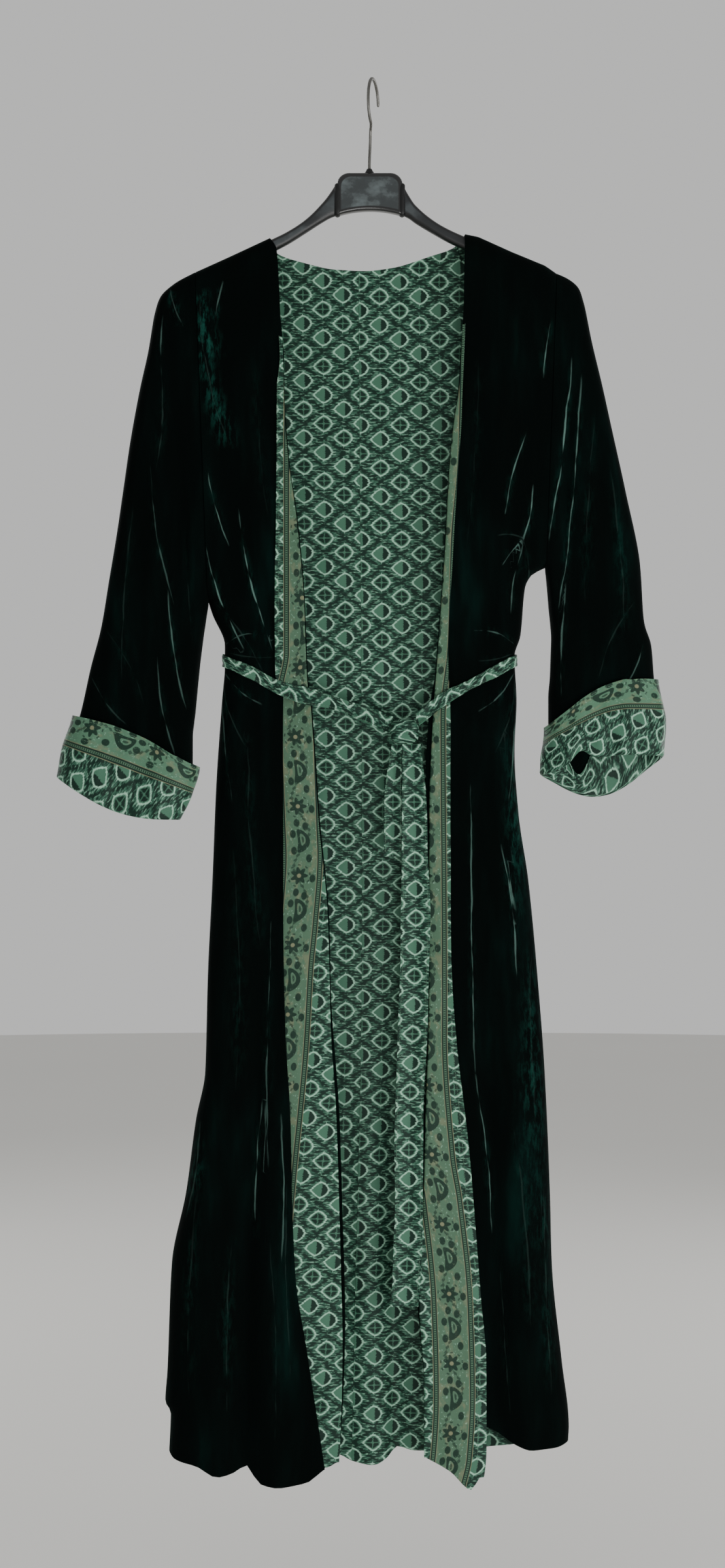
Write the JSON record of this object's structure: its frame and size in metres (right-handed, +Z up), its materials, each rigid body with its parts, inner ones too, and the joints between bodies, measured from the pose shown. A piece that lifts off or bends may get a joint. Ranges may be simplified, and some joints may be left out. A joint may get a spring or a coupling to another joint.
{
  "type": "kimono robe on a hanger",
  "caption": "Long open-fronted velvet kimono robe with printed lining, turned-back cuffs and a tie belt, hung on a moulded hanger with a wire hook.",
  "frame": {"origin": "under the crown of the hanger's hook, where a rod or wall hook carries it", "axes": "+Z up, the robe's front faces -Y, the wearer's left is +X"},
  "size_m": [0.6505, 0.0572, 1.5035],
  "materials": {
    "velvet": "deep pile, almost black green",
    "lining": "satin, printed green trellis",
    "facing": "satin, printed border",
    "cuff": "satin, printed border",
    "belt": "satin, printed",
    "block_plastic": "dark grey gloss",
    "arm_plastic": "black satin",
    "steel": "bright drawn wire"
  },
  "bodies": {
    "root": {"back": "velvet", "front_right": "velvet", "front_left": "velvet", "sleeve_right": "velvet", "sleeve_left": "velvet", "back_lining_right": "lining", "back_lining_left": "lining", "revers_right": "facing", "revers_left": "facing", "cuff_right": "cuff", "cuff_left": "cuff", "belt_right": "belt", "belt_left": "belt", "belt_back": "belt", "belt_knot": "belt", "belt_tail_long": "belt", "belt_tail_short": "belt", "hanger_block": "block_plastic", "hanger_arm_right": "arm_plastic", "hanger_arm_left": "arm_plastic", "hook": "steel"}
  },
  "joints": []
}
